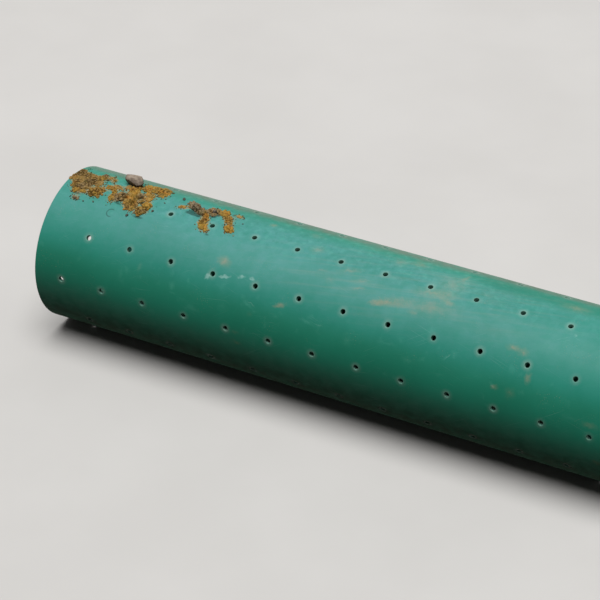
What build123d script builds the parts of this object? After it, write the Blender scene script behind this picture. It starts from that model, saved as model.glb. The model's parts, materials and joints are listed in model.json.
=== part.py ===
from build123d import *
import os
from math import cos, floor, radians, sin

# Perforated drain pipe of plain extruded plastic, lying level along X with its underside on Z = 0.
# All lengths are in millimetres and all angles in degrees.
LENGTH = 1000.0
OUTER_DIAMETER = 250.0
WALL = 6.2
END_CHAMFER = 1.0  # the outer edge of each sawn end is broken by this much

# The holes are drilled square to the wall, in straight rows spaced evenly all round the pipe.
# Every second row starts half a pitch further along, so the holes of neighbouring rows are staggered.
HOLE_DIAMETER = 8.0
HOLE_PITCH = 75.0
END_MARGIN = 50.0  # from a sawn end to the nearest hole centre of the rows that start first
ROW_COUNT = 10
FIRST_ROW_TURN = 14.0  # from the crown towards -Y

# One row is drilled round. The like holes of the other rows are modelled with a few flats,
# each of which touches the hole's true circle.
ROUND_ROW = 1
HOLE_FLATS = 8

outer_radius = OUTER_DIAMETER / 2
inner_radius = outer_radius - WALL
row_step = 360 / ROW_COUNT


def row_plane(row):
    """A plane along the pipe's axis that faces the way the holes of this row are drilled."""
    turn = radians(FIRST_ROW_TURN + row * row_step)
    return Plane(origin=(0, 0, outer_radius), x_dir=(1, 0, 0), z_dir=(0, -sin(turn), cos(turn)))


def hole_centres(row):
    """Where along the pipe the holes of this row are, between the two end margins."""
    stagger = HOLE_PITCH / 2 if row % 2 else 0.0
    first = END_MARGIN + stagger
    gaps = floor((LENGTH - END_MARGIN - first) / HOLE_PITCH)
    return [(first + gap * HOLE_PITCH - LENGTH / 2, 0) for gap in range(gaps + 1)]


with BuildPart() as pipe:
    # The tube, as it leaves the die and the saw
    with BuildSketch(Plane(origin=(0, 0, outer_radius), x_dir=(0, 0, -1), z_dir=(1, 0, 0))):
        Circle(outer_radius)
        Circle(inner_radius, mode=Mode.SUBTRACT)
    extrude(amount=LENGTH / 2, both=True)
    sawn_rims = pipe.faces().filter_by(Axis.X).edges()
    chamfer(sawn_rims.group_by(SortBy.RADIUS)[-1], length=END_CHAMFER)

    # The drilled rows, each cut outward from the pipe's axis through one side of the wall
    for row in range(ROW_COUNT):
        with BuildSketch(row_plane(row)):
            with Locations(*hole_centres(row)):
                if row == ROUND_ROW:
                    Circle(HOLE_DIAMETER / 2)
                else:
                    flat_turn = 180 / HOLE_FLATS
                    RegularPolygon(HOLE_DIAMETER / 2, HOLE_FLATS, major_radius=False, rotation=flat_turn)
        extrude(amount=OUTER_DIAMETER, mode=Mode.SUBTRACT)

pipe.part.label = "pipe"
os.makedirs("parts", exist_ok=True)
export_step(pipe.part, "parts/pipe.step")
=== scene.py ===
import json
from math import asin, atan2, cos, degrees, exp, hypot, pi, radians, sin, sqrt
from random import Random

import bmesh
import bpy
import numpy as np
from mathutils import Matrix, Vector, noise


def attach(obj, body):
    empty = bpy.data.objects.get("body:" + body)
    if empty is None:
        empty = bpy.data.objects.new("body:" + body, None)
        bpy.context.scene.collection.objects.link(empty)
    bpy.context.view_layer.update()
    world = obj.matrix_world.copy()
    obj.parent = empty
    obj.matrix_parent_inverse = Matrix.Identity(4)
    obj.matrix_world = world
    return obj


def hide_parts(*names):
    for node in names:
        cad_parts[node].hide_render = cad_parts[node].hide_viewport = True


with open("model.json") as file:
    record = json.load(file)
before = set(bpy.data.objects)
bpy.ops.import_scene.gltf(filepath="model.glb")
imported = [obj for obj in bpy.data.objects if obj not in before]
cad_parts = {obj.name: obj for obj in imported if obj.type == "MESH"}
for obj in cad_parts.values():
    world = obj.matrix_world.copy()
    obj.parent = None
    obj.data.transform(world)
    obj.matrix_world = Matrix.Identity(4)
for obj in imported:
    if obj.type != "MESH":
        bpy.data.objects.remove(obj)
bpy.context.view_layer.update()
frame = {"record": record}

# The pipe's real sizes, in metres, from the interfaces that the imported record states
mounts = {mount["name"]: mount for mount in frame["record"]["mounts"]}
drilled = [mounts[name] for name in sorted(mounts) if name.startswith("drain_hole_")]
MM = 0.001
OUTER_RADIUS = mounts["outer_wall"]["dims"]["r_mm"] * MM
INNER_RADIUS = mounts["pipe_bore"]["dims"]["r_mm"] * MM
LENGTH = mounts["pipe_bore"]["dims"]["length_mm"] * MM
END_CHAMFER = (LENGTH - mounts["outer_wall"]["dims"]["length_mm"] * MM) / 2
HOLE_RADIUS = drilled[0]["dims"]["r_mm"] * MM
HOLE_PITCH = drilled[1]["pos_m"][0] - drilled[0]["pos_m"][0]
AXIS_HEIGHT = mounts["pipe_bore"]["pos_m"][2]

# Turns are in degrees from the crown towards -Y, the side that the camera sees
ROW_COUNT = 10
ROW_STEP = 360 / ROW_COUNT
STATED_ROW_TURN = degrees(atan2(-drilled[0]["axis"][1], drilled[0]["axis"][2]))
FIRST_ROW_TURN = STATED_ROW_TURN - ROW_STEP
FIRST_HOLE_X = drilled[0]["pos_m"][0] - HOLE_PITCH / 2
COLUMN_COUNT = 2 * len(drilled) + 1


# Camera: the photograph's view, fitted to 40 hole centres in four rows and to both outlines of the pipe
CAMERA_AZIMUTH = 28.44
CAMERA_ELEVATION = 32.41
CAMERA_DISTANCE = 3.658
CAMERA_AIM = (-0.0891, 0.0038, 0.1320)
FOCAL_LENGTH_PIXELS = 2340
PHOTO_SIZE_PIXELS = 600
SENSOR_WIDTH_MM = 36.0


def placed(name, data):
    """A new object of the scene with this mesh, lamp or camera."""
    made = bpy.data.objects.new(name, data)
    bpy.context.scene.collection.objects.link(made)
    return made


def add_camera():
    azimuth, elevation = radians(CAMERA_AZIMUTH), radians(CAMERA_ELEVATION)
    forward = Vector((-sin(azimuth) * cos(elevation), cos(azimuth) * cos(elevation), -sin(elevation)))
    data = bpy.data.cameras.new("camera")
    data.sensor_width = SENSOR_WIDTH_MM
    data.lens = FOCAL_LENGTH_PIXELS / PHOTO_SIZE_PIXELS * SENSOR_WIDTH_MM
    camera = placed("camera", data)
    camera.location = Vector(CAMERA_AIM) - forward * CAMERA_DISTANCE
    camera.rotation_euler = forward.to_track_quat("-Z", "Y").to_euler()
    bpy.context.scene.camera = camera


# Mesh of the pipe: cells of half a pitch by one row step, each plain or with a drilled hole
ACROSS_CELL = 6
AROUND_CELL = 12
RIM_SEGMENTS = 2 * (ACROSS_CELL + AROUND_CELL)
CELL_HALF_LENGTH = HOLE_PITCH / 4
OUTER_SPREAD = (0.05, 0.16, 0.36, 0.66, 1.0)
INNER_SPREAD = (0.08, 0.30, 0.62, 1.0)
END_STRIPS = 5
RIM_ROUNDING = 0.4 * MM
END_ROUNDING = 0.3 * MM
WELD = 0.001 * MM
SMOOTH_UP_TO = 35
SKIN, BORE, CUT = 0, 1, 2


class PipeMesh:
    """Collects quads by their places round the pipe, then welds them into one mesh."""

    def __init__(self):
        self.points, self.quads, self.kinds = [], [], []

    def add(self, x, turn, radius):
        angle = radians(turn)
        self.points.append((x, -radius * sin(angle), AXIS_HEIGHT + radius * cos(angle)))
        return len(self.points) - 1

    def bridge(self, line, following, kind, closed):
        count = len(line)
        for i in range(count if closed else count - 1):
            j = (i + 1) % count
            self.quads.append((line[i], line[j], following[j], following[i]))
            self.kinds.append(kind)

    def to_object(self, name, materials):
        mesh = bpy.data.meshes.new(name)
        mesh.from_pydata(self.points, [], self.quads)
        mesh.polygons.foreach_set("material_index", self.kinds)
        work = bmesh.new()
        work.from_mesh(mesh)
        bmesh.ops.remove_doubles(work, verts=work.verts, dist=WELD)
        bmesh.ops.recalc_face_normals(work, faces=work.faces)
        work.to_mesh(mesh)
        work.free()
        shade_smooth(mesh)
        mesh.set_sharp_from_angle(angle=radians(SMOOTH_UP_TO))
        return new_object(name, mesh, materials)


def new_object(name, mesh, materials):
    for material in materials:
        mesh.materials.append(material)
    return placed(name, mesh)


def shade_smooth(mesh):
    mesh.polygons.foreach_set("use_smooth", [True] * len(mesh.polygons))


def mesh_from(work, name):
    """The mesh of what work holds. Work itself is let go."""
    mesh = bpy.data.meshes.new(name)
    work.to_mesh(mesh)
    work.free()
    return mesh


def cell_outline():
    """Points round a cell, as shares of its half length and half turn, each with its angle on the rim."""
    right = [(1.0, -1 + 2 * i / AROUND_CELL) for i in range(AROUND_CELL)]
    top = [(1 - 2 * i / ACROSS_CELL, 1.0) for i in range(ACROSS_CELL)]
    sides = right + top + [(-a, -b) for a, b in right + top]
    start = -AROUND_CELL * pi / RIM_SEGMENTS
    return [(a, b, start + 2 * pi * i / RIM_SEGMENTS) for i, (a, b) in enumerate(sides)]


def drilled_ring(pipe, x, turn, hole_radius, radius, spread):
    """A ring at this radius, from a hole's rim (spread 0) out to its cell's outline (spread 1)."""
    ring = []
    for a, b, angle in cell_outline():
        rim_x = hole_radius * cos(angle)
        rim_turn = degrees(asin(hole_radius * sin(angle) / radius))
        ring_x = x + (1 - spread) * rim_x + spread * a * CELL_HALF_LENGTH
        ring_turn = turn + (1 - spread) * rim_turn + spread * b * ROW_STEP / 2
        ring.append(pipe.add(ring_x, ring_turn, radius))
    return ring


def add_drilled_cell(pipe, x, turn):
    halfway = RIM_ROUNDING * (1 - cos(pi / 4))
    outer_rim = HOLE_RADIUS + RIM_ROUNDING
    inner_rim = HOLE_RADIUS + RIM_ROUNDING / 2
    sections = [(SKIN, outer_rim, OUTER_RADIUS, spread) for spread in reversed(OUTER_SPREAD)]
    sections += [
        (SKIN, outer_rim, OUTER_RADIUS, 0.0),
        (CUT, HOLE_RADIUS + halfway, OUTER_RADIUS - halfway, 0.0),
        (CUT, HOLE_RADIUS, OUTER_RADIUS - RIM_ROUNDING, 0.0),
        (CUT, HOLE_RADIUS, (OUTER_RADIUS + INNER_RADIUS) / 2, 0.0),
        (CUT, HOLE_RADIUS, INNER_RADIUS + RIM_ROUNDING / 2, 0.0),
        (CUT, inner_rim, INNER_RADIUS, 0.0),
    ]
    sections += [(BORE, inner_rim, INNER_RADIUS, spread) for spread in INNER_SPREAD]
    rings = [drilled_ring(pipe, x, turn, r, radius, spread) for _, r, radius, spread in sections]
    for (kind, *_), ring, following in zip(sections[1:], rings, rings[1:]):
        pipe.bridge(ring, following, kind, closed=True)


def steps(start, end, count):
    return [start + (end - start) * i / count for i in range(count + 1)]


def add_bands(pipe, profile, turn, kind):
    """Quads along a profile of (x, radius) places, over one row step of turn."""
    turns = steps(turn - ROW_STEP / 2, turn + ROW_STEP / 2, AROUND_CELL)
    lines = [[pipe.add(x, t, radius) for t in turns] for x, radius in profile]
    for line, following in zip(lines, lines[1:]):
        pipe.bridge(line, following, kind, closed=False)


def add_sawn_end(pipe, side, turn):
    """One row's share of a sawn end: the broken outer edge, the sawn ring and the eased inner edge."""
    end = side * LENGTH / 2
    sawn_outer, sawn_inner = OUTER_RADIUS - END_CHAMFER, INNER_RADIUS + END_ROUNDING
    profile = [
        (end - side * END_CHAMFER, OUTER_RADIUS),
        (end - side * END_CHAMFER / 2, OUTER_RADIUS - END_CHAMFER / 2),
    ]
    profile += [(end, radius) for radius in steps(sawn_outer, sawn_inner, 3)]
    profile += [(end - side * END_ROUNDING, INNER_RADIUS)]
    add_bands(pipe, profile, turn, CUT)


def build_pipe(materials):
    pipe = PipeMesh()
    first_edge = FIRST_HOLE_X - CELL_HALF_LENGTH
    walls = ((SKIN, OUTER_RADIUS, END_CHAMFER), (BORE, INNER_RADIUS, END_ROUNDING))
    for row in range(ROW_COUNT):
        turn = FIRST_ROW_TURN + row * ROW_STEP
        for column in range(COLUMN_COUNT):
            x = FIRST_HOLE_X + column * 2 * CELL_HALF_LENGTH
            if (row + column) % 2 == 0:
                add_drilled_cell(pipe, x, turn)
                continue
            for kind, radius, _ in walls:
                x_values = steps(x - CELL_HALF_LENGTH, x + CELL_HALF_LENGTH, ACROSS_CELL)
                add_bands(pipe, [(value, radius) for value in x_values], turn, kind)
        for side in (-1, 1):
            for kind, radius, easing in walls:
                x_values = steps(-side * first_edge, side * (LENGTH / 2 - easing), END_STRIPS)
                add_bands(pipe, [(value, radius) for value in x_values], turn, kind)
            add_sawn_end(pipe, side, turn)
    return pipe.to_object("drain_pipe", materials)


# Soil: each patch is a list of lobes on the skin, in metres along the pipe, degrees of turn, millimetres of
# half length, half width and thickness, degrees of slant, and a tone from 0, orange clay, to 1, grey-brown
LEFT_PATCH = (
    (-0.4747, 2.9, 23, 18, 4.2, 0, 0.45),
    (-0.4667, 10.2, 13, 10, 5.6, 0, 0.6),
    (-0.441, 13.5, 13, 11, 4.8, 0, 0.2),
    (-0.474, 16, 7, 5, 3.4, 0, 0.1),
    (-0.481, 12, 7, 7, 3, 0, 0.3),
    (-0.461, 15.5, 8, 4, 3, 0, 0.25),
    (-0.4475, 3.5, 8, 9, 3, 0, 0.35),
    (-0.492, -5.7, 7, 15, 2, 0, 0.4),
    (-0.492, 4, 6, 8, 2.4, 0, 0.2),
    (-0.4507, -3.8, 8, 9, 3, 0, 0.2),
    (-0.452, -9.3, 4, 5, 3, 0, 0.9),
    (-0.44, -8.7, 3, 8, 1.5, 0, 0.2),
    (-0.431, -6, 4, 9, 1.2, -20, 0.3),
    (-0.4347, 10.2, 8, 8, 2.8, 0, 0.2),
    (-0.4227, 4.7, 10, 6, 2.6, -10, 0.15),
    (-0.4667, 22.7, 6, 3.5, 3.2, 10, 0.85),
    (-0.4772, -5.9, 6, 4, 1.4, 0, 0.3),
    (-0.4617, -4.8, 5, 3.5, 1.3, 0, 0.15),
)
MIDDLE_PATCH = (
    (-0.4093, 12.7, 14, 5.5, 3.8, 78, 0.1),
    (-0.412, 1.5, 13, 4.5, 1.8, 25, 0.35),
    (-0.399, -2, 5, 9, 1.6, 0, 0.4),
    (-0.396, 10.8, 10, 11, 6, 20, 0.75),
    (-0.384, 1.7, 22, 10, 4.2, 80, 0.1),
    (-0.376, 10.2, 10, 9, 4, 0, 0.15),
    (-0.369, -7.5, 14, 9, 3.6, 60, 0.15),
    (-0.3667, 5.3, 7, 6, 7, 20, 0.75),
    (-0.3507, -9.3, 17, 14, 4, 10, 0.08),
    (-0.3387, -10, 8, 11, 3, 0, 0.15),
    (-0.336, -3.5, 7, 7, 2.6, 0, 0.1),
    (-0.3547, 1, 9, 8, 3.6, 0, 0.2),
    (-0.351, 6, 7, 6, 3.4, 0, 0.2),
    (-0.359, 9.2, 4, 5, 2.6, 0, 0.3),
    (-0.3447, 13.3, 9, 9, 4.6, 0, 0),
    (-0.3493, 19.7, 10, 8, 6, 0, 0.3),
    (-0.3655, 15, 5, 6, 3.2, 0, 0.3),
    (-0.3707, 18.2, 11, 7, 4.4, 15, 0.3),
    (-0.38, 13.9, 8, 8, 3.6, 0, 0.15),
)
RIGHT_PATCH = (
    (-0.2915, 3.7, 9, 3.2, 2.4, -30, 0.2),
    (-0.2795, -2, 8, 7, 7, 31, 0.95),
    (-0.2695, 1, 10, 7, 8, 31, 1),
    (-0.257, 4, 9, 6, 7, 25, 0.9),
    (-0.2499, 1.2, 6, 4, 3.6, 0, 0.8),
    (-0.2385, -0.8, 11, 8, 7, -10, 0.75),
    (-0.2445, 7.5, 10, 4.6, 3.4, 64, 0.15),
    (-0.2425, 12.7, 8, 5.5, 3, 60, 0.25),
    (-0.24, 16.6, 9, 7.5, 3.8, 50, 0.05),
    (-0.2305, 19.4, 4, 3.5, 2.6, 40, 0.1),
    (-0.2215, -2.4, 11, 7.5, 4.6, 75, 0),
    (-0.2085, 3, 9, 7, 3.8, 45, 0.15),
    (-0.2025, 7.6, 6, 5, 2.2, 50, 0.2),
    (-0.1965, 13, 10, 7.5, 4.2, 50, 0.05),
    (-0.198, -3.8, 6, 4, 1.8, 20, 0.45),
)
PATCHES = {
    "clay_patch_left": LEFT_PATCH,
    "clay_patch_middle": MIDDLE_PATCH,
    "clay_patch_right": RIGHT_PATCH,
}
ALL_LOBES = [lobe for patch in PATCHES.values() for lobe in patch]

# Single grains: (x, turn, half width in mm)
LONE_GRAINS = (
    (-0.3667, 25.5, 2.3),
    (-0.3307, 16, 2.2),
    (-0.302, -6.3, 2.8),
    (-0.45, 24, 1.2),
    (-0.433, 22.5, 1.4),
    (-0.323, 5, 1.3),
    (-0.183, 4, 1.2),
)
SOIL_SEED = 7
CRUST_STEP = 0.65 * MM
CRUST_ROOT_MM = 0.5
CRUST_LEAST_MM = 0.45
CRUST_REACH = 1.3
CRUST_EDGE_RISE = 1.5
CRUST_BEND = 0.003
CRUST_BEND_SCALE = 170
CRUST_WAVE_SCALE = 70
CRUST_LUMP_SCALES = (135, 340)
CRUST_SHARES = (0.10, 0.30, 0.50, 0.22)  # of the thickness: base, waves, lumps and small lumps
LUMP_STEEPNESS = 2.6
HOLE_CLEARANCE_MM = 2.5
END_GAP = 2 * MM
BURIED_HOLES_X = (-0.450, -0.375)
CLODS_PER_MM2 = 0.026
CLOD_LEAST_MM = 0.7
CLOD_GROWTH = 0.34
CRUMBS_PER_LOBE = 30
TONE_FALLOFF = 1.5

# Noise of a few sizes, each (strength, changes per unit of length)
EDGE_NOISE = ((0.75, 110), (0.55, 290), (0.35, 600))
GRAIN_NOISE = ((0.45, 420), (0.30, 900))
CLOD_NOISE = ((0.32, 1.4), (0.14, 3.1))
PEBBLE_NOISE = ((0.035, 4), (0.02, 11))

REMESH_VOXEL = 0.7 * MM
HOLLOW_ROUNDS = 14
HOLLOW_DEPTH = 0.65 * MM


def outward(turn):
    return Vector((0, -sin(radians(turn)), cos(radians(turn))))


def skin_matrix(x, turn, height):
    """The place and axes of a spot on the skin: along the pipe, round it towards -Y, and outward."""
    up = outward(turn)
    along = Vector((1, 0, 0))
    around = Vector((0, -cos(radians(turn)), -sin(radians(turn))))
    origin = Vector((x, 0, AXIS_HEIGHT)) + up * (OUTER_RADIUS + height)
    axes = Matrix((along, around, up)).transposed().to_4x4()
    return Matrix.Translation(origin) @ axes


def turn_of(millimetres):
    return degrees(millimetres * MM / OUTER_RADIUS)


def layered_noise(spot, layers, shift=Vector(), start=0.0):
    return sum((strength * noise.noise(spot * scale + shift) for strength, scale in layers), start)


def add_clod(work, rng, x, turn, height_mm, half_width_mm, flatness, subdivisions=2):
    """A lumpy grain: a small sphere, squashed and turned at random, with a rough surface."""
    tumble = Matrix.Rotation(rng.uniform(0, 2 * pi), 4, "Z") @ Matrix.Rotation(rng.uniform(-0.5, 0.5), 4, "X")
    size = Vector((half_width_mm * rng.uniform(0.8, 1.35), half_width_mm, half_width_mm * flatness)) * MM
    place = skin_matrix(x, turn, height_mm * MM) @ tumble @ Matrix.Diagonal((*size, 1))
    made = bmesh.ops.create_icosphere(work, subdivisions=subdivisions, radius=1.0)["verts"]
    shift = Vector([rng.uniform(-50, 50) for _ in range(3)])
    for vertex in made:
        vertex.co = place @ (vertex.co * layered_noise(vertex.co, CLOD_NOISE, shift, start=1.0))


def spot_in_lobe(rng, lobe, edge=1.0):
    """A random spot in a lobe, as (x, turn, share of the way to its edge)."""
    x, turn, half_length, half_width, _, slant, _ = lobe
    share = sqrt(rng.random()) * edge
    angle = rng.uniform(0, 2 * pi)
    along, around = half_length * share * cos(angle), half_width * share * sin(angle)
    a = radians(slant)
    return (
        x + (along * cos(a) - around * sin(a)) * MM,
        turn + turn_of(along * sin(a) + around * cos(a)),
        share,
    )


def inside_lobe(lobe, x, turn):
    """How far a spot lies inside a lobe: 1 at its middle, 0 at its edge and below 0 outside."""
    lobe_x, lobe_turn, half_length, half_width, _, slant, _ = lobe
    along = (x - lobe_x) / MM
    around = radians(turn - lobe_turn) * OUTER_RADIUS / MM
    a = radians(slant)
    across = (around * cos(a) - along * sin(a)) / half_width
    lengthways = (along * cos(a) + around * sin(a)) / half_length
    return 1 - lengthways * lengthways - across * across


def beside_hole(x, turn):
    """The distance from a spot to the rim of the nearest drilled hole that the soil leaves open, in mm."""
    nearest = 1000.0
    for row in range(ROW_COUNT):
        row_turn = FIRST_ROW_TURN + row * ROW_STEP
        around = radians((turn - row_turn + 180) % 360 - 180) * OUTER_RADIUS
        first = FIRST_HOLE_X + (HOLE_PITCH / 2 if row % 2 else 0)
        along = (x - first + HOLE_PITCH / 2) % HOLE_PITCH - HOLE_PITCH / 2
        hole_x = x - along
        buried = any(abs(hole_x - buried_x) < HOLE_PITCH / 4 for buried_x in BURIED_HOLES_X)
        if buried or abs(hole_x) > MM - FIRST_HOLE_X:
            continue
        nearest = min(nearest, (hypot(along, around) - HOLE_RADIUS) / MM)
    return nearest


def tone_at(lobes, point):
    """The soil's tone at a point, from the lobes nearest to it."""
    turn = degrees(atan2(-point.y, point.z - AXIS_HEIGHT))
    total = weights = 1e-6
    for lobe in lobes:
        weight = exp(TONE_FALLOFF * (inside_lobe(lobe, point.x, turn) - 1))
        total += weight * lobe[-1]
        weights += weight
    return total / weights


def add_tone(mesh, lobes, wander=0.35, scale=160):
    layer = mesh.attributes.new("tone", "FLOAT", "POINT")
    for vertex in mesh.vertices:
        varied = tone_at(lobes, vertex.co) + wander * noise.noise(vertex.co * scale)
        layer.data[vertex.index].value = min(1.0, max(0.0, varied))


def add_hollows(mesh):
    """Stores how deep each point lies below the surface round it: 0.5 where level, more in a hollow."""
    count = len(mesh.vertices)
    places, normals = np.empty(count * 3), np.empty(count * 3)
    mesh.vertices.foreach_get("co", places)
    mesh.vertices.foreach_get("normal", normals)
    places, normals = places.reshape(-1, 3), normals.reshape(-1, 3)
    ends = np.empty(len(mesh.edges) * 2, dtype=int)
    mesh.edges.foreach_get("vertices", ends)
    first, second = np.concatenate((ends[::2], ends[1::2])), np.concatenate((ends[1::2], ends[::2]))
    neighbours = np.maximum(np.bincount(first, minlength=count), 1)
    smoothed = places
    for _ in range(HOLLOW_ROUNDS):
        sums = [np.bincount(first, weights=smoothed[second, axis], minlength=count) for axis in range(3)]
        smoothed = np.stack(sums, axis=1) / neighbours[:, None]
    depth = ((smoothed - places) * normals).sum(axis=1) / HOLLOW_DEPTH
    layer = mesh.attributes.new("hollow", "FLOAT", "POINT")
    layer.data.foreach_set("value", np.clip(0.5 + 0.5 * depth, 0.0, 1.0))


def lumpiness(spot, scale):
    """1 on a lump and 0 in the cracks between lumps, with about so many lumps a metre."""
    nearest, second = noise.voronoi(spot * scale)[0][:2]
    return sqrt(min(1.0, LUMP_STEEPNESS * (second - nearest)))


def crust_height(lobes, x, turn):
    """How high the crust stands over the skin at a spot, in mm, with lumps, cracks and a ragged edge."""
    spot = Vector((x, radians(turn) * OUTER_RADIUS, 0.0))
    ragged = layered_noise(spot, EDGE_NOISE)
    thickness = 0.0
    for lobe in lobes:
        inside = inside_lobe(lobe, x, turn) + ragged
        if inside > 0:
            thickness = max(thickness, lobe[4] * sqrt(min(1.0, inside * CRUST_EDGE_RISE)))
    if thickness == 0.0:
        return 0.0
    bent = spot + CRUST_BEND * noise.noise_vector(spot * CRUST_BEND_SCALE)
    large, small = [lumpiness(bent, scale) for scale in CRUST_LUMP_SCALES]
    wave = 0.5 + 0.5 * noise.noise(spot * CRUST_WAVE_SCALE)
    base_share, wave_share, large_share, small_share = CRUST_SHARES
    height = thickness * (base_share + wave_share * wave + large_share * large + small_share * small)
    return height * min(1.0, max(0.0, beside_hole(x, turn) / HOLE_CLEARANCE_MM))


def add_crust(work, lobes):
    """The crust of a patch: a skin over its height, closed underneath within the pipe's wall."""
    x_values, turns, *half_sizes = zip(*[lobe[:4] for lobe in lobes])
    reach = max(max(sizes) for sizes in half_sizes) * CRUST_REACH
    x_low, x_high = max(min(x_values) - reach * MM, END_GAP - LENGTH / 2), max(x_values) + reach * MM
    turn_low, turn_high = min(turns) - turn_of(reach), max(turns) + turn_of(reach)
    columns = int((x_high - x_low) / CRUST_STEP)
    rows = int(radians(turn_high - turn_low) * OUTER_RADIUS / CRUST_STEP)
    top, root = {}, {}
    for i in range(columns):
        for j in range(rows):
            x, turn = x_low + i * CRUST_STEP, turn_low + j * turn_of(CRUST_STEP / MM)
            height = crust_height(lobes, x, turn)
            if height > CRUST_LEAST_MM:
                top[i, j] = work.verts.new(skin_matrix(x, turn, height * MM).translation)
                root[i, j] = work.verts.new(skin_matrix(x, turn, -CRUST_ROOT_MM * MM).translation)
    cells = [[(i, j), (i + 1, j), (i + 1, j + 1), (i, j + 1)] for i, j in top]
    cells = [corners for corners in cells if all(corner in top for corner in corners)]
    edges = set()
    for corners in cells:
        work.faces.new([top[corner] for corner in corners])
        work.faces.new([root[corner] for corner in reversed(corners)])
        edges.update(zip(corners, corners[1:] + corners[:1]))
    for a, b in sorted(edges):
        if (b, a) not in edges:
            work.faces.new((top[b], top[a], root[a], root[b]))
    bmesh.ops.delete(work, geom=[vertex for vertex in work.verts if not vertex.link_faces], context="VERTS")


def fused(work, name):
    """The mesh of all the shapes in work, fused into one skin."""
    holder = new_object("holder", mesh_from(work, name), [])
    remesh = holder.modifiers.new("fuse", "REMESH")
    remesh.mode = "VOXEL"
    remesh.voxel_size = REMESH_VOXEL
    depsgraph = bpy.context.evaluated_depsgraph_get()
    mesh = bpy.data.meshes.new_from_object(holder.evaluated_get(depsgraph))
    mesh.name = name
    bpy.data.objects.remove(holder)
    return mesh


def roughen(mesh, seed):
    """Breaks up a fused surface with grains of a few sizes."""
    shift = Vector((seed, 2 * seed, 3 * seed))
    normals = [vertex.normal.copy() for vertex in mesh.vertices]
    for vertex, normal in zip(mesh.vertices, normals):
        vertex.co += normal * layered_noise(vertex.co, GRAIN_NOISE, shift) * MM


def build_patch(name, lobes, seed, material):
    rng = Random(seed)
    work = bmesh.new()
    add_crust(work, lobes)
    for lobe in lobes:
        half_length, half_width, thickness = lobe[2:5]
        for _ in range(int(pi * half_length * half_width * CLODS_PER_MM2)):
            x, turn, share = spot_in_lobe(rng, lobe, edge=1.1)
            half_width_mm = (CLOD_LEAST_MM + CLOD_GROWTH * thickness) * rng.uniform(0.5, 1.6)
            if beside_hole(x, turn) < half_width_mm + 1:
                continue
            height_mm = max(0.0, thickness * (1 - share)) * rng.uniform(0.2, 0.9)
            add_clod(work, rng, x, turn, height_mm, half_width_mm, rng.uniform(0.55, 0.9))
    mesh = fused(work, name)
    roughen(mesh, seed)
    add_hollows(mesh)
    add_tone(mesh, lobes)
    shade_smooth(mesh)
    return new_object(name, mesh, [material])


def build_crumbs(material):
    """Loose crumbs and grit round the patches, each a grain of its own, pressed a little into the skin."""
    rng = Random(SOIL_SEED)
    work = bmesh.new()
    for lobe in ALL_LOBES:
        for _ in range(CRUMBS_PER_LOBE):
            x, turn, _ = spot_in_lobe(rng, lobe, edge=1.75)
            half_width_mm = 0.35 + 1.1 * rng.random() ** 3
            if abs(x) > LENGTH / 2 - END_GAP or beside_hole(x, turn) < half_width_mm:
                continue
            add_clod(work, rng, x, turn, half_width_mm * 0.25, half_width_mm, 0.7, subdivisions=1)
    mesh = mesh_from(work, "loose_crumbs")
    add_hollows(mesh)
    add_tone(mesh, ALL_LOBES, wander=0.6, scale=500)
    return new_object("loose_crumbs", mesh, [material])


def build_grains(material):
    """Single grains of dark grit that lie on the skin away from the patches."""
    rng = Random(SOIL_SEED)
    work = bmesh.new()
    for x, turn, half_width_mm in LONE_GRAINS:
        add_clod(work, rng, x, turn, half_width_mm * 0.3, half_width_mm, 0.6, subdivisions=3)
    return new_object("lone_grains", mesh_from(work, "lone_grains"), [material])


# Pebbles: (x, turn, half sizes in mm, slant, seed); the large one lies between the left and the middle patch
PEBBLES = (
    (-0.3950, -7.8, (20.0, 12.0, 10.2), 8, 5),
    (-0.2372, 1.0, (4.6, 4.0, 4.4), 0, 9),
)
PEBBLE_FACETS = 15
PEBBLE_FACET_REACH = (0.66, 0.86)
PEBBLE_FLATNESS = 0.97
PEBBLE_SEAT = 0.80


def facetted(spot, facets):
    """A point of a ball of radius 1, moved in to the flat facets and made a little uneven."""
    for normal, reach in facets:
        beyond = spot.dot(normal) - reach
        if beyond > 0:
            spot = spot - normal * beyond * PEBBLE_FLATNESS
    return spot * layered_noise(spot, PEBBLE_NOISE, start=1.0)


def build_pebbles(material):
    work = bmesh.new()
    for x, turn, half_size_mm, slant, seed in PEBBLES:
        rng = Random(seed)
        facets = []
        for _ in range(PEBBLE_FACETS):
            normal = Vector([rng.gauss(0, 1) for _ in range(3)]).normalized()
            facets.append((normal, rng.uniform(*PEBBLE_FACET_REACH)))
        size = Vector(half_size_mm) * MM
        turned = Matrix.Rotation(radians(slant), 4, "Z")
        place = skin_matrix(x, turn, size.z * PEBBLE_SEAT) @ turned @ Matrix.Diagonal((*size, 1))
        for vertex in bmesh.ops.create_icosphere(work, subdivisions=5, radius=1.0)["verts"]:
            vertex.co = place @ facetted(vertex.co, facets)
    mesh = mesh_from(work, "pebbles")
    shade_smooth(mesh)
    return new_object("pebbles", mesh, [material])


# Materials
NOISE_LOW, NOISE_HIGH = 0.3, 0.7


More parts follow.
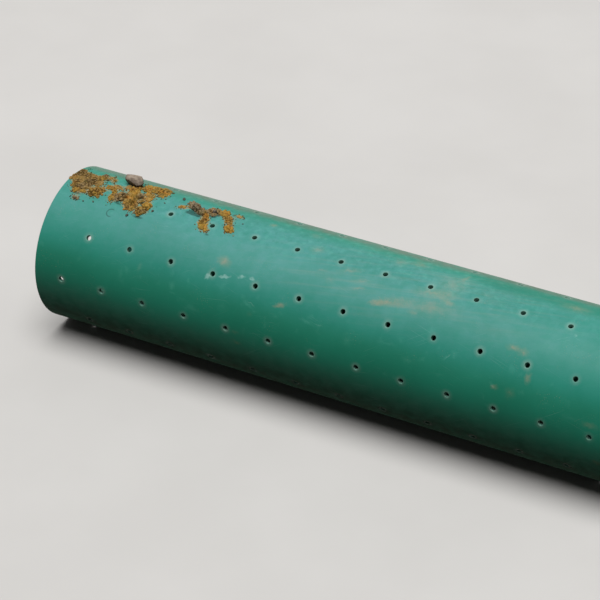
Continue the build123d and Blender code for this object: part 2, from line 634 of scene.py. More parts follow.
class Nodes:
    """A node tree, with short ways to add and join nodes."""

    def __init__(self, tree):
        self.tree = tree
        self.tree.nodes.clear()

    def node(self, kind, inputs=None, **settings):
        made = self.tree.nodes.new("ShaderNode" + kind)
        for name, value in settings.items():
            setattr(made, name, value)
        for name, value in (inputs or {}).items():
            self.put(made.inputs[name], value)
        return made

    def put(self, socket, value):
        if isinstance(value, bpy.types.NodeSocket):
            self.tree.links.new(value, socket)
        elif socket.type == "RGBA":
            socket.default_value = (*value, 1.0)
        else:
            socket.default_value = value

    def math(self, operation, a, b=0.0, c=0.0):
        return self.node("Math", {0: a, 1: b, 2: c}, operation=operation).outputs[0]

    def absolute(self, value):
        return self.math("ABSOLUTE", value)

    def chain(self, operation, values):
        result = values[0]
        for value in values[1:]:
            result = self.math(operation, result, value)
        return result

    def total(self, *values):
        return self.chain("ADD", values)

    def product(self, *values):
        return self.chain("MULTIPLY", values)

    def vector_math(self, operation, *inputs, output=0):
        return self.node("VectorMath", dict(enumerate(inputs)), operation=operation).outputs[output]

    def split(self, vector):
        return self.node("SeparateXYZ", {0: vector}).outputs

    def mix(self, share, a, b):
        return self.node("Mix", {0: share, 6: a, 7: b}, data_type="RGBA").outputs[2]

    def seen_share(self):
        """1 for rays that show the background: from the camera, or by way of gloss or glass."""
        path = self.node("LightPath").outputs
        seen = self.math("MAXIMUM", path["Is Camera Ray"], path["Is Glossy Ray"])
        return self.math("MAXIMUM", seen, path["Is Transmission Ray"])


class Shader(Nodes):
    """A material's nodes, with the colour that its layers build up."""

    def __init__(self, name):
        self.material = bpy.data.materials.new(name)
        self.material.use_nodes = True
        super().__init__(self.material.node_tree)
        self.surface = self.node("BsdfPrincipled")
        self.node("OutputMaterial", {"Surface": self.surface.outputs["BSDF"]})
        self.place = self.node("TexCoord").outputs["Object"]
        self.colour = None

    def cover(self, share, colour):
        """Lays a colour over what is there, by this share."""
        self.colour = self.mix(share, self.colour, colour)

    def finish(self, roughness, normal, gloss):
        values = {"Base Color": self.colour, "Roughness": roughness, "Normal": normal}
        values["Specular IOR Level"] = gloss
        for name, value in values.items():
            self.put(self.surface.inputs[name], value)
        return self.material

    def unroll(self):
        """Sets the place along the pipe, the turn, the height over the skin and the unrolled vector."""
        self.x, y, z = self.split(self.place)
        rise = self.math("SUBTRACT", z, AXIS_HEIGHT)
        angle = self.math("ARCTAN2", self.product(y, -1.0), rise)
        reach = self.math("SQRT", self.total(self.product(y, y), self.product(rise, rise)))
        self.turn = self.math("DEGREES", angle)
        self.height = self.math("SUBTRACT", reach, OUTER_RADIUS)
        self.flat = self.node("CombineXYZ", {0: self.x, 1: self.product(angle, OUTER_RADIUS)}).outputs[0]

    def ramp(self, value, start, end, low=0.0, high=1.0):
        """A smooth step from low to high as the value goes from start to end."""
        inputs = {"Value": value, "From Min": start, "From Max": end, "To Min": low, "To Max": high}
        return self.node("MapRange", inputs, interpolation_type="SMOOTHSTEP").outputs["Result"]

    def varied(self, value, low=0.0, high=1.0):
        """A smooth step from low to high over a noise's usual range."""
        return self.ramp(value, NOISE_LOW, NOISE_HIGH, low, high)

    def mapped(self, vector, location=(0, 0, 0), slant=0.0, scale=(1, 1, 1), kind="POINT"):
        inputs = {"Vector": vector, "Location": location, "Rotation": (0, 0, radians(slant)), "Scale": scale}
        return self.node("Mapping", inputs, vector_type=kind).outputs[0]

    def noise(self, vector, scale, detail=3.0, roughness=0.5, output="Fac"):
        inputs = {"Vector": vector, "Scale": scale, "Detail": detail, "Roughness": roughness}
        return self.node("TexNoise", inputs).outputs[output]

    def streaks(self, vector, along, across, slant=0.0, detail=3.0):
        """Noise drawn out along the pipe: so many changes a metre along it and across it."""
        slanted = self.mapped(vector, slant=slant)
        return self.noise(self.mapped(slanted, scale=(along, across, 1)), 1.0, detail)

    def warped(self, vector, scale, reach):
        """The vector shifted by noise, so that what is placed with it gets a ragged edge."""
        shift = self.noise(vector, scale, output="Color")
        centred = self.vector_math("SUBTRACT", shift, (0.5, 0.5, 0.5))
        return self.vector_math("MULTIPLY_ADD", centred, (reach, reach, 0.0), vector)

    def beside_holes(self):
        """The distance to the centre of the nearest drilled hole, in metres."""
        rows = self.math("DIVIDE", self.math("SUBTRACT", self.turn, FIRST_ROW_TURN), ROW_STEP)
        row = self.math("ROUND", rows)
        around = self.product(self.math("SUBTRACT", rows, row), radians(ROW_STEP) * OUTER_RADIUS)
        stagger = self.product(self.math("FLOORED_MODULO", row, 2.0), HOLE_PITCH / 2)
        start = self.math("SUBTRACT", self.math("SUBTRACT", self.x, FIRST_HOLE_X), stagger)
        along = self.math("WRAP", start, HOLE_PITCH / 2, -HOLE_PITCH / 2)
        return self.math("SQRT", self.total(self.product(along, along), self.product(around, around)))

    def marks(self, vector, places):
        """The sum of soft oval marks: (x, turn, half length in mm, half width in mm, slant, strength)."""
        result = 0.0
        for x, turn, half_length, half_width, slant, strength in places:
            location = (x, radians(turn) * OUTER_RADIUS, 0)
            inside = self.mapped(vector, location, slant, (half_length * MM, half_width * MM, 1), "TEXTURE")
            spot = self.node("TexGradient", {0: inside}, gradient_type="SPHERICAL").outputs["Fac"]
            result = self.math("MULTIPLY_ADD", spot, strength, result)
        return result

    def bump(self, height, distance, normal=None):
        inputs = {"Height": height, "Distance": distance, "Strength": 1.0}
        if normal is not None:
            inputs["Normal"] = normal
        return self.node("Bump", inputs).outputs["Normal"]


# The plastic's colours, all linear, and how much of what is below each layer covers, from 0 to 1
PLASTIC_DEEP = (0.01, 0.235, 0.155)
PLASTIC_PALE = (0.013, 0.26, 0.174)
PLASTIC_SHADE = (0.008, 0.19, 0.125)
# Painted sheen: a bluish reflection of the sky, laid into the colour of the upper side
SHEEN_BLUE = (0.52, 0.62, 1)
SHEEN_SHARE = 0.125
MOTTLE_PALE_SHARE = 0.14
MOTTLE_DEEP_SHARE = 0.3
CROWN_DEEP_SHARE = 0.5
CROWN_LEAN = 4
SIDE_TURN = 72
SANDY = (0.44, 0.35, 0.22)
SAND_SHARE = 0.2
GRIT_SHARE = 0.28
CLAY_WASH = (0.17, 0.135, 0.095)
WASH_SHARE = 0.46
TAN_DUST = (0.43, 0.345, 0.225)
WIPED_SHARE = 0.15
SMEAR_SHARE = 0.5
PALE_DUST = (0.17, 0.58, 0.46)
SMUDGE_SHARE = 0.2
SCATTER_SHARE = 0.1
CLAY_FILM = (0.42, 0.24, 0.08)
FILM_SHARE = 0.75
FILM_MARGIN_MM = 7
WORN_PALE = (0.36, 0.62, 0.56)
SCUFF_SHARE = 0.52
SCRATCH_SHARE = 0.16
RIM_PALE = (0.44, 0.55, 0.48)
RIM_SHARE = 0.29
LOW_RIM_WHITENING_AND_LIGHT_SHARE = 0.8
RIM_DUST_SHARE = 0.17
RIM_WHITENING = 3.4 * MM
RIM_DUST = 7.5 * MM
ROWS_REACH = 0.018 - FIRST_HOLE_X
# Painted shade: patchy near-black over the underside, away from the crown
UNDERSIDE_SHADE = (0.019, 0.022, 0.011)
UNDERSIDE_SHADE_SHARE = 0.92
# Painted shade: a darker, less blue green on the lower flanks
LOWER_SHADE_GREEN = (0.03, 0.15, 0.03)
LOWER_SHADE_SHARE = 0.17
# Painted shadow under the soil lumps; the same dark green also draws the thin arc
SHADOW_AND_ARC_GREEN = (0.004, 0.04, 0.028)
SHADOW_SHARE = 0.75
HAIR_ARC_SHARE = 0.6
PLASTIC_GLOSS = 0.18
ROUGHEST = 0.92
BORE_DEEP, BORE_PALE, BORE_LINE = (0.013, 0.205, 0.155), (0.017, 0.24, 0.18), (0.05, 0.36, 0.28)
SILT = (0.26, 0.19, 0.11)
SILT_SHARE = 0.75
CUT_DEEP, CUT_PALE, CUT_WHITENED = (0.095, 0.265, 0.205), (0.155, 0.35, 0.285), (0.26, 0.46, 0.39)
CUT_DUST = (0.26, 0.31, 0.22)

# Marks on the skin, each (x in m, turn, half length in mm, half width in mm, slant, strength)
TAN_SMEARS = (
    (-0.176, 39.2, 18, 13, 15, 1),
    (-0.065, 58.4, 15, 5.5, -17, 1.15),
    (-0.139, -4.8, 10, 9, 0, 0.9),
    (-0.046, 9, 20, 14, -15, 0.6),
    (-0.001, 31, 14, 12, 0, 0.38),
    (-0.02, 25, 14, 5, -16, 0.45),
    (0.022, 19.5, 30, 6.5, -15, 0.65),
    (0.047, 24.5, 24, 5, -14, 0.55),
    (0.047, 31, 17, 5, -12, 0.62),
    (0.088, 37.3, 22, 7, -14, 0.8),
    (0.104, 34.5, 42, 13, -16, 0.78),
    (0.168, 29.8, 64, 23, -10, 0.62),
    (0.143, 37.5, 11, 6, 0, 0.42),
    (0.18, 6, 46, 36, -20, 0.6),
    (0.16, 18.5, 50, 12, -8, 0.75),
    (0.187, 22.5, 17, 6, 10, 0.6),
    (0.189, -6, 5, 18, 12, 0.5),
    (0.083, -2.6, 20, 20, 0, 0.55),
    (0.108, -10, 14, 22, 0, 0.5),
    (0.365, -6, 36, 16, 0, 0.68),
    (0.235, 7, 26, 12, 0, 0.35),
    (-0.065, -7, 24, 16, 0, 0.42),
    (0.115, -6, 30, 14, 0, 0.38),
    (0.03, -11, 30, 10, 0, 0.35),
    (-0.245, -13.5, 14, 8, 0, 0.42),
    (0.309, 41.2, 15, 8, 0, 1),
    (0.326, 42.4, 12, 10, 0, 0.8),
    (0.344, 58.4, 8, 13, 0, 0.85),
    (0.296, 70.2, 9, 5, -10, 0.9),
    (0.322, 71.5, 12, 13, 0, 0.5),
    (0.4485, 77.5, 20, 8, 5, 0.55),
    (0.463, 106, 14, 10, 0, 0.7),
    (-0.312, 60, 6, 12, 8, 0.35),
    (-0.13, 95, 13, 6, 10, 0.55),
    (-0.133, 86.7, 11, 6, 0, 0.45),
    (-0.11, 70, 8, 8, 0, 0.3),
)
PALE_SMUDGES = (
    (-0.343, 68, 6, 14, 5, 0.75),
    (-0.312, 60.5, 6, 11, 8, 0.55),
    (-0.306, 66.5, 5, 5, 0, 0.45),
    (-0.25, 66, 8, 12, 0, 0.9),
    (-0.247, 71, 8, 2, 0, 0.8),
    (-0.224, 59.6, 5, 5, 20, 0.9),
    (-0.209, 77.8, 16, 6, 12, 0.8),
    (-0.222, 79, 9, 5, 0, 0.5),
    (-0.16, 70.5, 12, 9, -20, 0.5),
    (-0.117, 63.5, 16, 4.5, 18, 0.8),
    (-0.104, 67, 6, 4, 20, 0.55),
    (-0.067, 66.3, 8, 6, 0, 0.65),
    (-0.013, 64, 20, 4.5, 8, 0.8),
    (0.006, 64.5, 5, 9, 0, 0.45),
    (0.055, 68.5, 12, 14, -20, 0.5),
    (0.12, 62.5, 24, 5, -5, 0.55),
    (0.155, 69.5, 13, 7, 10, 0.7),
    (0.182, 45.5, 18, 7, -15, 0.6),
    (0.214, 60.3, 9, 4, -50, 0.85),
    (0.292, 69, 5, 4, -10, 0.9),
    (0.42, 76, 24, 8, 0, 0.45),
    (0.122, -13, 7, 7, 0, 0.9),
    (-0.003, -12.5, 13, 8, 10, 0.9),
    (-0.3925, 26.8, 5, 4, 0, 0.7),
)
PALE_SCUFFS = (
    (-0.1945, 52.6, 8, 5.5, -50, 1.6),
    (-0.186, 51, 6, 3, -20, 0.9),
    (-0.167, 49.6, 14, 3.4, -17, 1.5),
    (-0.139, 46.2, 10, 4, -8, 1.05),
    (-0.121, 45.6, 7, 3.4, 0, 1.1),
    (0.217, 59.5, 9, 1.8, -55, 0.7),
    (0.389, 20.2, 4, 3, 0, 0.6),
    (0.295, 70.2, 5, 3, 0, 0.5),
    (-0.112, 62.5, 14, 1.8, 20, 0.55),
    (0.005, 64, 12, 2, 10, 0.5),
)
# Painted shadows cast by the soil lumps on the skin below them
PAINTED_SHADOWS = (
    (-0.27, 6.8, 11, 6.5, 35, 1.5),
    (-0.259, 8, 8, 5, 20, 1.5),
    (-0.277, 7.5, 8, 6, 20, 0.8),
    (-0.2368, 4.6, 9, 5, 5, 1.6),
    (-0.229, 1.6, 5, 6, 30, 1),
    (-0.2072, 6.8, 5, 4, 0, 1.2),
    (-0.189, 14, 4, 7, 20, 0.6),
    (-0.2245, 23, 6, 3, 0, 0.7),
    (-0.348, 24.6, 13, 4, 0, 0.9),
    (-0.394, 17.6, 12, 3.5, 12, 0.8),
    (-0.47, 18.8, 14, 3, 0, 0.8),
    (-0.356, 11, 5, 4, 0, 0.9),
    (-0.387, -1.2, 16, 4, 12, 0.9),
)
HAIR_ARC = (-0.3945, 27.2)  # x and turn of its centre
HAIR_ARC_RADIUS = 7 * MM
HAIR_ARC_WIDTH = 1.8 * MM
STREAKED_ZONE = ((0.13, 16, 330, 90, -6, 1.6),)
HAIRLINE_SETS = ((9, 0), (-16, 3), (34, 7))  # slant and shift


class Skin(Shader):
    """The outer surface's material, with the noises that its layers share."""

    def __init__(self):
        super().__init__("green_plastic_skin")
        self.unroll()
        self.off_crown = self.absolute(self.turn)
        self.ragged = self.warped(self.flat, scale=130, reach=0.009)
        self.patchy = self.noise(self.flat, 260, detail=4, roughness=0.65)
        self.cloudy = self.noise(self.ragged, 70, detail=4, roughness=0.6)
        self.broad = self.noise(self.flat, 9)
        self.drawn = self.streaks(self.flat, along=9, across=120, slant=10, detail=4)
        self.colour = self.mix(self.varied(self.broad), PLASTIC_DEEP, PLASTIC_PALE)


def add_painted_sheen(s):
    """Painted sky sheen on the upper side, laid on as a bluish haze, fainter behind the crown and towards
    both ends.
    """
    front = s.product(s.ramp(s.turn, 82, 22), s.ramp(s.turn, -15, 3, 0.12, 1))
    back = s.product(s.ramp(s.turn, -30, -48), s.ramp(s.turn, -92, -50), 0.6)
    upper = s.product(s.total(front, back), s.ramp(s.x, 0.1, 0.52, 1.04, 0.62))
    upper = s.product(upper, s.ramp(s.x, -0.46, -0.3, 0.82, 1))
    uneven = s.product(s.varied(s.cloudy, 0.78, 1.1), s.ramp(s.drawn, 0.25, 0.75, 0.86, 1))
    # Painted sheen over the upper side
    s.cover(s.product(upper, uneven, s.varied(s.broad, 0.82, 1), SHEEN_SHARE), SHEEN_BLUE)


def add_mottled_crown(s):
    """Paler and deeper blotches along the crown, and deeper green behind its right half."""
    crown = s.ramp(s.absolute(s.total(s.turn, CROWN_LEAN)), 36, 10)
    crown = s.product(crown, s.ramp(s.x, 0.2, 0.45, 1, 0.5))
    mottled = s.noise(s.ragged, 95, detail=4, roughness=0.6)
    s.cover(s.product(crown, s.ramp(mottled, 0.5, 0.66), MOTTLE_PALE_SHARE), PALE_DUST)
    s.cover(s.product(crown, s.ramp(mottled, 0.47, 0.32), MOTTLE_DEEP_SHARE), PLASTIC_SHADE)
    behind = s.product(s.ramp(s.turn, 3, -9), s.ramp(s.turn, -60, -30))
    s.cover(s.product(behind, s.ramp(s.x, 0.18, 0.24), CROWN_DEEP_SHARE), PLASTIC_SHADE)


def add_smears(s):
    """Pale tan streaks where soil was wiped along the pipe, and paler smudges. Returns the smears' share."""
    zone = s.math("MINIMUM", s.marks(s.flat, STREAKED_ZONE), 1)
    fine_drawn = s.streaks(s.flat, along=22, across=700, slant=12, detail=2)
    wiped = s.product(zone, s.ramp(s.drawn, 0.42, 0.75), s.ramp(fine_drawn, 0.35, 0.7, 0.5, 1), WIPED_SHARE)
    s.cover(wiped, TAN_DUST)
    smears = s.product(s.marks(s.ragged, TAN_SMEARS), s.varied(s.patchy, 0.8, 1.08))
    smears = s.ramp(s.product(smears, s.varied(s.cloudy, 0.75, 1.15)), 0, 1.15, 0, SMEAR_SHARE)
    s.cover(smears, TAN_DUST)
    smudged = s.product(s.marks(s.ragged, PALE_SMUDGES), s.varied(s.cloudy, 0.7, 1.2))
    smudged = s.ramp(smudged, 0, 1, 0, SMUDGE_SHARE)
    off_side = s.absolute(s.math("SUBTRACT", s.off_crown, SIDE_TURN))
    scattered = s.product(s.ramp(off_side, 30, 12), SCATTER_SHARE)
    scattered = s.product(scattered, s.ramp(s.noise(s.ragged, 52), 0.58, 0.76))
    s.cover(s.total(smudged, scattered), PALE_DUST)
    return smears


def add_clay_film(s):
    """A film of clay on the skin round the soil patches. Returns its share."""
    films = [
        (x, turn, length + FILM_MARGIN_MM, width + FILM_MARGIN_MM, slant, 1)
        for x, turn, length, width, _, slant, _ in ALL_LOBES
    ]
    film = s.product(s.marks(s.ragged, films), s.varied(s.patchy, 0.3, 1.3))
    film = s.ramp(film, 0.18, 0.9, 0, FILM_SHARE)
    s.cover(film, CLAY_FILM)
    return film


def add_painted_shadows(s):
    """Painted shadows on the skin under the lumps, and a thin dark arc."""
    # Painted shadows under the lumps
    shadows = s.product(s.marks(s.flat, PAINTED_SHADOWS), s.varied(s.patchy, 0.8, 1.2))
    s.cover(s.ramp(shadows, 0.05, 0.7, 0, SHADOW_SHARE), SHADOW_AND_ARC_GREEN)
    x, turn = HAIR_ARC
    from_centre = s.vector_math("SUBTRACT", s.flat, (x, radians(turn) * OUTER_RADIUS, 0))
    reach = s.vector_math("LENGTH", from_centre, output="Value")
    line = s.ramp(s.absolute(s.math("SUBTRACT", reach, HAIR_ARC_RADIUS)), HAIR_ARC_WIDTH, 0)
    opening = s.ramp(s.split(from_centre)[0], 0.7 * HAIR_ARC_RADIUS, 0)
    s.cover(s.product(line, opening, HAIR_ARC_SHARE), SHADOW_AND_ARC_GREEN)


def add_washed_soil_and_shade(s):
    """Clay washed behind the crown, dust behind it, painted shade as a darker green on the lower flanks and
    painted shade on the underside. Returns the shares of the dust and of the underside's shade.
    """
    edge = s.total(s.turn, s.ramp(s.x, 0.16, 0.24, 0, 4))
    washed = s.product(s.ramp(edge, -10, -21), s.ramp(s.turn, -52, -26))
    uneven = s.ramp(s.noise(s.ragged, 40, detail=4), 0.32, 0.68, 0.65, 1.2)
    s.cover(s.product(washed, uneven, WASH_SHARE), CLAY_WASH)
    behind = s.product(s.ramp(s.turn, -26, -44), s.ramp(s.turn, -98, -58))
    blown = s.ramp(s.noise(s.ragged, 26, detail=5, roughness=0.65), 0.4, 0.75)
    sand = s.product(behind, blown, SAND_SHARE)
    s.cover(sand, SANDY)
    # Painted shade on the lower flanks
    s.cover(s.ramp(s.off_crown, 54, 70, 0, LOWER_SHADE_SHARE), LOWER_SHADE_GREEN)
    # Painted shade over the underside, darker towards the bottom
    shade_patches = s.ramp(s.noise(s.ragged, 45, detail=5, roughness=0.65), 0.25, 0.7, 0.78, 1)
    underside_shade = s.product(s.ramp(s.off_crown, 82, 126), shade_patches, UNDERSIDE_SHADE_SHARE)
    s.cover(underside_shade, UNDERSIDE_SHADE)
    return sand, underside_shade


def add_scuffs(s):
    """Pale scuffs. Returns their share."""
    scuffs = s.product(s.marks(s.ragged, PALE_SCUFFS), s.ramp(s.patchy, 0.35, 0.65, 0.75, 1.15))
    scuffs = s.ramp(scuffs, 0.1, 1, 0, SCUFF_SHARE)
    s.cover(scuffs, WORN_PALE)
    return scuffs


def add_hole_rims(s):
    """Whitened rims, and faint dusty rings, round the drilled holes; on the underside the paler rims are
    partly painted light on the lit lower walls of the holes.
    """
    from_hole = s.beside_holes()
    along_rows = s.ramp(s.absolute(s.x), ROWS_REACH + 4 * MM, ROWS_REACH)
    rims = s.ramp(from_hole, HOLE_RADIUS + RIM_WHITENING, HOLE_RADIUS + 0.3 * RIM_WHITENING)
    # Paler rims on the underside: partly whitening, partly painted light on the holes' lower walls
    rims = s.product(rims, s.ramp(s.off_crown, 96, 114, RIM_SHARE, LOW_RIM_WHITENING_AND_LIGHT_SHARE))
    dusted = s.product(s.ramp(from_hole, HOLE_RADIUS + RIM_DUST, HOLE_RADIUS + 1 * MM), RIM_DUST_SHARE)
    uneven = s.ramp(s.noise(s.flat, 34, detail=2), 0.36, 0.62, 0.45, 1.1)
    rims = s.product(s.math("MAXIMUM", rims, dusted), s.varied(s.patchy, 0.7, 1.1), uneven, along_rows)
    s.cover(rims, RIM_PALE)


def add_hairlines(s):
    """Fine straight scratches that come in patches. Returns their share."""
    lines = 0
    for slant, spot in HAIRLINE_SETS:
        moved = s.mapped(s.flat, location=(spot, spot, 0))
        hair = s.streaks(moved, along=14, across=900, slant=slant, detail=1)
        lines = s.math("MAXIMUM", lines, s.ramp(hair, 0.7, 0.76))
    lines = s.product(lines, s.ramp(s.noise(s.flat, 14, detail=2), 0.42, 0.62), SCRATCH_SHARE)
    s.cover(lines, WORN_PALE)
    return lines


def add_grit(s):
    """Grit stuck to the skin. Returns where its grains are."""
    cells = s.node("TexVoronoi", {"Vector": s.flat, "Scale": 330})
    chosen = s.ramp(s.noise(s.flat, 22, detail=2), 0.52, 0.7)
    grains = s.product(s.ramp(cells.outputs["Distance"], 0.22, 0.1), chosen)
    grains = s.product(grains, s.ramp(s.turn, 120, 60, 0.5, 1))
    s.cover(s.product(grains, GRIT_SHARE), SANDY)
    return grains


def skin_material():
    s = Skin()
    add_painted_sheen(s)
    add_mottled_crown(s)
    smears = add_smears(s)
    film = add_clay_film(s)
    add_painted_shadows(s)
    sand, underside_shade = add_washed_soil_and_shade(s)
    scuffs = add_scuffs(s)
    add_hole_rims(s)
    lines = add_hairlines(s)
    grains = add_grit(s)

    # Dust, the painted underside shade and scratches take the shine off, and stand proud or cut in a little
    dust_and_shade = s.total(film, underside_shade, sand, smears)
    rough = s.math("MULTIPLY_ADD", lines, 0.3, s.varied(s.noise(s.flat, 60), 0.4, 0.5))
    rough = s.math("MINIMUM", s.math("MULTIPLY_ADD", dust_and_shade, 0.5, rough), ROUGHEST)
    wavy = s.bump(s.streaks(s.flat, along=1.5, across=260, detail=2), 0.05 * MM)
    pebbled = s.bump(s.noise(s.flat, 900, detail=2), 0.02 * MM, wavy)
    caked = s.bump(s.product(dust_and_shade, s.patchy), 0.25 * MM, pebbled)
    marked = s.bump(s.math("SUBTRACT", s.product(grains, 0.5), s.total(lines, scuffs)), 0.12 * MM, caked)
    return s.finish(rough, marked, PLASTIC_GLOSS)


def bore_material():
    """The inside: the same plastic with fine drawn lines, and silt along the bottom."""
    s = Shader("green_plastic_bore")
    s.unroll()
    broad = s.noise(s.flat, 12)
    lines = s.streaks(s.flat, along=2, across=420, detail=2)
    s.colour = s.mix(s.varied(broad), BORE_DEEP, BORE_PALE)
    s.cover(s.ramp(lines, 0.5, 0.8, 0, 0.12), BORE_LINE)
    silt = s.ramp(s.absolute(s.turn), 128, 172)
    silt = s.product(silt, s.ramp(s.noise(s.flat, 35, detail=5), 0.35, 0.6))
    s.cover(s.product(silt, SILT_SHARE), SILT)
    rough = s.math("MULTIPLY_ADD", silt, 0.4, s.varied(broad, 0.32, 0.42))
    wavy = s.bump(lines, 0.05 * MM)
    caked = s.bump(s.product(silt, s.noise(s.flat, 300, detail=4)), 0.4 * MM, wavy)
    return s.finish(rough, caked, PLASTIC_GLOSS)


def cut_material():
    """Sawn and drilled faces: paler and matt, with tool marks and dust."""
    s = Shader("green_plastic_cut")
    mottled = s.noise(s.place, 420, detail=4, roughness=0.6)
    sawn = s.noise(s.mapped(s.place, scale=(1, 60, 1400)), 1, detail=2)
    s.colour = s.mix(s.varied(mottled), CUT_DEEP, CUT_PALE)
    s.cover(s.ramp(sawn, 0.5, 0.75, 0, 0.35), CUT_WHITENED)
    s.cover(s.ramp(s.noise(s.place, 150, detail=4), 0.42, 0.68, 0, 0.3), CUT_DUST)
    normal = s.bump(sawn, 0.08 * MM, s.bump(mottled, 0.06 * MM))
    return s.finish(s.varied(mottled, 0.62, 0.82), normal, PLASTIC_GLOSS)


ORANGE_CLAY = (0.275, 0.16, 0.026)
ORANGE_PALE = (0.53, 0.31, 0.055)
ORANGE_DARK = (0.072, 0.038, 0.004)
GREY_CLAY = (0.155, 0.115, 0.06)
GREY_PALE = (0.31, 0.25, 0.165)
GREY_DARK = (0.032, 0.022, 0.01)
RUSTY_CLAY = (0.38, 0.14, 0.02)
OLIVE_CLAY = (0.15, 0.14, 0.038)
CLAY_GLOSS = 0.15


def clay_material():
    """Crumbly clay, orange to grey-brown by its tone, with painted shade in its hollows, near the skin and
    towards the left end, and painted highlights on its crests.
    """
    s = Shader("dried_clay")
    s.unroll()
    tone = s.node("Attribute", attribute_name="tone").outputs["Fac"]
    hollow = s.node("Attribute", attribute_name="hollow").outputs["Fac"]
    lumps = s.noise(s.place, 190, detail=4, roughness=0.6)
    grains = s.noise(s.place, 1100, roughness=0.6)
    warped = s.warped(s.place, 300, 0.004)
    cells = s.node("TexVoronoi", {"Vector": warped, "Scale": 240}).outputs["Color"]
    per_clod = s.node("SeparateColor", {0: cells}).outputs[0]
    hues = s.node("SeparateColor", {0: s.noise(s.place, 105, output="Color")}).outputs

    pale = s.mix(tone, ORANGE_PALE, GREY_PALE)
    dark = s.mix(tone, ORANGE_DARK, GREY_DARK)
    s.colour = s.mix(tone, ORANGE_CLAY, GREY_CLAY)
    s.cover(s.ramp(per_clod, 0.35, 1, 0, 0.65), pale)
    s.cover(s.product(s.ramp(hues[0], 0.5, 0.6, 0, 0.8), s.ramp(tone, 1, 0.1, 0.25, 1)), RUSTY_CLAY)
    s.cover(s.ramp(hues[1], 0.52, 0.64, 0, 0.65), OLIVE_CLAY)
    s.cover(s.ramp(lumps, 0.53, 0.31, 0, 0.82), dark)
    # Painted shade: darker towards the left end
    s.cover(s.ramp(s.x, -0.42, -0.45, 0, 0.56), dark)
    # Painted shade: darker close to the skin
    s.cover(s.product(s.ramp(s.height, 1.6 * MM, 0), 0.45), dark)
    s.cover(s.ramp(grains, 0.58, 0.75, 0, 0.5), pale)
    s.cover(s.ramp(grains, 0.42, 0.28, 0, 0.6), dark)
    # Painted shade in the hollows
    creviced = s.ramp(s.noise(s.place, 70, detail=2), 0.44, 0.58, 0.12, 1)
    s.cover(s.product(s.ramp(hollow, 0.5, 0.7), creviced), dark)
    s.cover(s.ramp(s.noise(s.place, 70, detail=4, roughness=0.65), 0.52, 0.63, 0, 0.72), dark)
    area = s.noise(s.place, 48, detail=2)
    s.cover(s.ramp(area, 0.5, 0.62, 0, 0.34), pale)
    s.cover(s.ramp(area, 0.49, 0.37, 0, 0.52), dark)
    # Painted highlight on the crests
    s.cover(s.ramp(hollow, 0.46, 0.15, 0, 0.55), pale)
    normal = s.bump(grains, 0.35 * MM, s.bump(s.noise(s.place, 450, detail=4), 0.6 * MM))
    return s.finish(s.varied(lumps, 0.86, 0.97), normal, CLAY_GLOSS)


# Each stone's body, pale body, speck and dark speck
PEBBLE_STONE = ((0.2, 0.154, 0.118), (0.37, 0.295, 0.225), (0.48, 0.39, 0.3), (0.07, 0.05, 0.036))
GRIT_STONE = ((0.06, 0.068, 0.05), (0.095, 0.095, 0.07), (0.17, 0.16, 0.12), (0.025, 0.028, 0.02))
STONE_LOWER_DARK = (0.035, 0.028, 0.018)
LOWER_DARK_SHARE = 0.9
PEBBLE_DARK_HEIGHT = 15 * MM
GRIT_DARK_HEIGHT = 1 * MM
STONE_GLOSS = 0.25


def stone_material(name, colours, dark_height):
    """Speckled stone, darker towards the skin up to about the given height over it."""
    s = Shader(name)
    s.unroll()
    body, pale_body, speck, dark_speck = colours
    clouds = s.noise(s.place, 120, detail=4, roughness=0.6)
    grains = s.noise(s.place, 1300, roughness=0.7)
    s.colour = s.mix(s.ramp(clouds, 0.35, 0.65), body, pale_body)
    s.cover(s.ramp(grains, 0.55, 0.75, 0, 0.5), speck)
    s.cover(s.ramp(grains, 0.42, 0.28, 0, 0.5), dark_speck)
    uneven = s.ramp(s.noise(s.place, 200, detail=4), 0.35, 0.6, 0.55, 1)
    # Darker towards the skin, up to the given height
    s.cover(s.product(s.ramp(s.height, dark_height, 0.25 * dark_height), uneven, LOWER_DARK_SHARE), STONE_LOWER_DARK)
    normal = s.bump(grains, 0.15 * MM, s.bump(clouds, 0.8 * MM))
    return s.finish(s.varied(clouds, 0.75, 0.9), normal, STONE_GLOSS)


# Floor, light and background
FLOOR_SIZE = 60
FLOOR_ROUGHNESS = 0.9
FLOOR_SEEN = (0.6, 0.585, 0.565)
FLOOR_SEEN_PALE = (0.63, 0.615, 0.595)
FLOOR_BOUNCE = (0.022, 0.017, 0.011)  # what lights the pipe from below
BACKGROUND_LOW = (0.62, 0.62, 0.61)
BACKGROUND_HIGH = (0.86, 0.86, 0.86)
SUN_STRENGTH = 3.2
SUN_ANGLE = 48
SUN_LEAN = 10
DOME_LOW = 0.04
DOME_BEHIND = 0.45


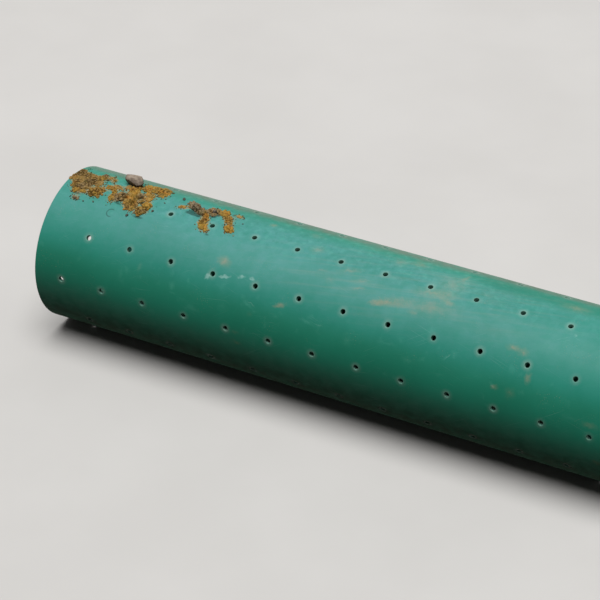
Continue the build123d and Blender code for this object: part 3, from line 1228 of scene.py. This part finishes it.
def add_floor():
    s = Shader("floor")
    seen = s.mix(s.varied(s.noise(s.place, 3.0, detail=5.0)), FLOOR_SEEN, FLOOR_SEEN_PALE)
    s.colour = s.mix(s.seen_share(), FLOOR_BOUNCE, seen)
    s.finish(FLOOR_ROUGHNESS, s.bump(s.noise(s.place, 400), 0.05 * MM), gloss=0.0)
    mesh = bpy.data.meshes.new("floor")
    h = FLOOR_SIZE / 2
    mesh.from_pydata([(-h, -h, 0), (h, -h, 0), (h, h, 0), (-h, h, 0)], [], [(0, 1, 2, 3)])
    new_object("floor", mesh, [s.material])


def add_sun():
    data = bpy.data.lights.new("soft_sun", "SUN")
    data.energy = SUN_STRENGTH
    data.angle = radians(SUN_ANGLE)
    sun = placed("soft_sun", data)
    sun.rotation_euler = (radians(SUN_LEAN), 0, 0)


def add_world():
    """A faint dome with more light from behind, seen as a pale backdrop."""
    world = bpy.data.worlds.new("studio")
    bpy.context.scene.world = world
    world.use_nodes = True
    dome = Nodes(world.node_tree)
    _, depth, height = dome.split(dome.node("TexCoord").outputs["Generated"])
    limits = {"Value": depth, "To Min": DOME_LOW, "To Max": DOME_BEHIND}
    behind = dome.node("MapRange", limits).outputs["Result"]
    backdrop = dome.mix(height, BACKGROUND_LOW, BACKGROUND_HIGH)
    light = dome.node("Background", {"Color": dome.mix(dome.seen_share(), behind, backdrop)})
    dome.node("OutputWorld", {0: light.outputs[0]})


def add_soil():
    noise.seed_set(SOIL_SEED)  # noise_vector would go by the clock otherwise
    clay = clay_material()
    soil = [build_patch(name, PATCHES[name], SOIL_SEED + i, clay) for i, name in enumerate(PATCHES)]
    soil.append(build_crumbs(clay))
    soil.append(build_grains(stone_material("grit_stone", GRIT_STONE, GRIT_DARK_HEIGHT)))
    soil.append(build_pebbles(stone_material("pebble_stone", PEBBLE_STONE, PEBBLE_DARK_HEIGHT)))
    for piece in soil:
        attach(piece, "root")


def main():
    bpy.context.scene.view_settings.view_transform = "Standard"
    add_camera()
    add_floor()
    add_sun()
    add_world()
    pipe = build_pipe([skin_material(), bore_material(), cut_material()])
    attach(pipe, "root")
    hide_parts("pipe")
    add_soil()


main()
